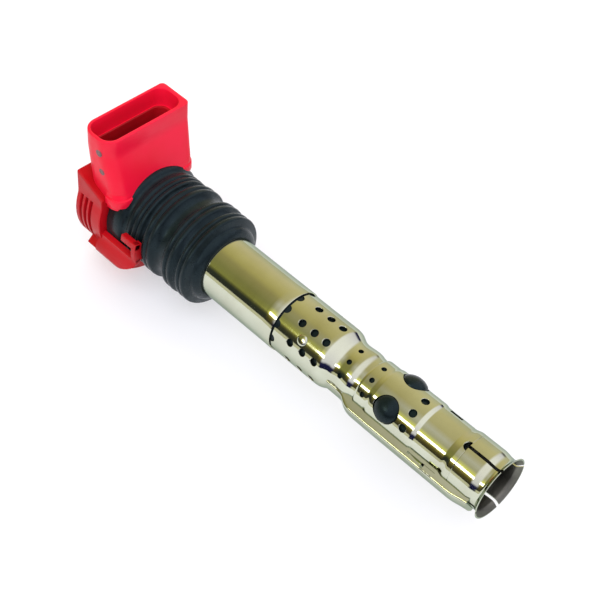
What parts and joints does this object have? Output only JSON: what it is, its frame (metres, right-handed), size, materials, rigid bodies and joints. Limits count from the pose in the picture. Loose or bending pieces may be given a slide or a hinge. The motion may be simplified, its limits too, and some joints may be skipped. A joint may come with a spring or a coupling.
{
  "type": "ignition coil",
  "caption": "Plug-top ignition coil: red head with upright connector, ribbed rubber well seal, polished tube and a perforated, notched shield sleeve with sprung clip fingers.",
  "frame": {"origin": "on the shaft axis, in the middle of the ring where the clip fingers grip the spark plug's hexagon", "axes": "+X along the shaft from the head to the plug, +Z towards the connector's mouth, +Y across"},
  "size_m": [0.1758, 0.0453, 0.0606],
  "materials": {
    "red_plastic": "moulded, satin gloss",
    "dark_red_plastic": "moulded",
    "tinned_blade": "tinned",
    "red_cap_plastic": "moulded, satin gloss",
    "board": "solder mask",
    "chip_package": "moulded",
    "aluminium_plate": "rolled",
    "resin": "cast",
    "copper_lead": "enamelled",
    "black_rubber": "moulded, slight sheen",
    "polished_steel": "polished, warm tint",
    "core_steel": "coated",
    "enamelled_wire": "enamelled copper",
    "bobbin_plastic": "moulded",
    "fine_wire": "enamelled copper",
    "cushion_rubber": "moulded",
    "magnet": "plated",
    "brass": "turned",
    "resistor_body": "ceramic",
    "spring_steel": "drawn wire",
    "boot_rubber": "silicone, slight sheen",
    "plated_sheet": "pressed and plated, warm tint"
  },
  "bodies": {
    "body": {"head_housing": "red_plastic", "connector_insert": "dark_red_plastic", "connector_blades": "tinned_blade", "end_cap": "red_cap_plastic", "igniter_board": "board", "power_transistor": "chip_package", "heat_sink_plate": "aluminium_plate", "potting_resin": "resin", "primary_leads": "copper_lead", "well_seal": "black_rubber", "case_tube": "polished_steel", "outer_iron_tube": "core_steel", "primary_winding": "enamelled_wire", "primary_bobbin": "bobbin_plastic", "secondary_winding": "fine_wire", "secondary_bobbin": "bobbin_plastic", "core_cushion": "cushion_rubber", "iron_core": "core_steel", "core_magnets": "magnet", "high_voltage_terminal": "brass", "suppression_resistor": "resistor_body", "contact_spring": "spring_steel", "plug_boot": "boot_rubber", "sleeve_seal_ring": "black_rubber", "shield_sleeve": "plated_sheet", "sleeve_rivet": "plated_sheet", "lower_shell": "plated_sheet", "seam_rail": "plated_sheet"},
    "contact_cap": {"contact_cap": "brass"},
    "finger_1": {"clip_finger_1": "plated_sheet"},
    "finger_2": {"clip_finger_2": "plated_sheet"},
    "finger_3": {"clip_finger_3": "plated_sheet"},
    "finger_4": {"clip_finger_4": "plated_sheet"}
  },
  "joints": [
    {"name": "contact_cap_slide", "type": "slide", "parent": "body", "child": "contact_cap", "axis": [-1, 0, 0], "range_m": [0, 0.004], "stiffness_N_per_m": 400, "springref_m": -0.006, "deforming": ["contact_spring"]},
    {"name": "finger_1_spread", "type": "hinge", "parent": "body", "child": "finger_1", "pos_m": [-0.0104, -0.00811, 0.00568], "axis": [0, -0.5736, -0.8192], "range_deg": [0, 1.5], "stiffness_Nm_per_rad": 6},
    {"name": "finger_2_spread", "type": "hinge", "parent": "body", "child": "finger_2", "pos_m": [-0.0104, -0.00568, -0.00811], "axis": [0, 0.8192, -0.5736], "range_deg": [0, 1.5], "stiffness_Nm_per_rad": 6},
    {"name": "finger_3_spread", "type": "hinge", "parent": "body", "child": "finger_3", "pos_m": [-0.0104, 0.00811, -0.00568], "axis": [0, 0.5736, 0.8192], "range_deg": [0, 1.5], "stiffness_Nm_per_rad": 6},
    {"name": "finger_4_spread", "type": "hinge", "parent": "body", "child": "finger_4", "pos_m": [-0.0104, 0.00568, 0.00811], "axis": [0, -0.8192, 0.5736], "range_deg": [0, 1.5], "stiffness_Nm_per_rad": 6}
  ],
  "couplings": [
    {"joint": "finger_2_spread", "follows": "finger_1_spread", "ratio": 1},
    {"joint": "finger_3_spread", "follows": "finger_1_spread", "ratio": 1},
    {"joint": "finger_4_spread", "follows": "finger_1_spread", "ratio": 1}
  ]
}
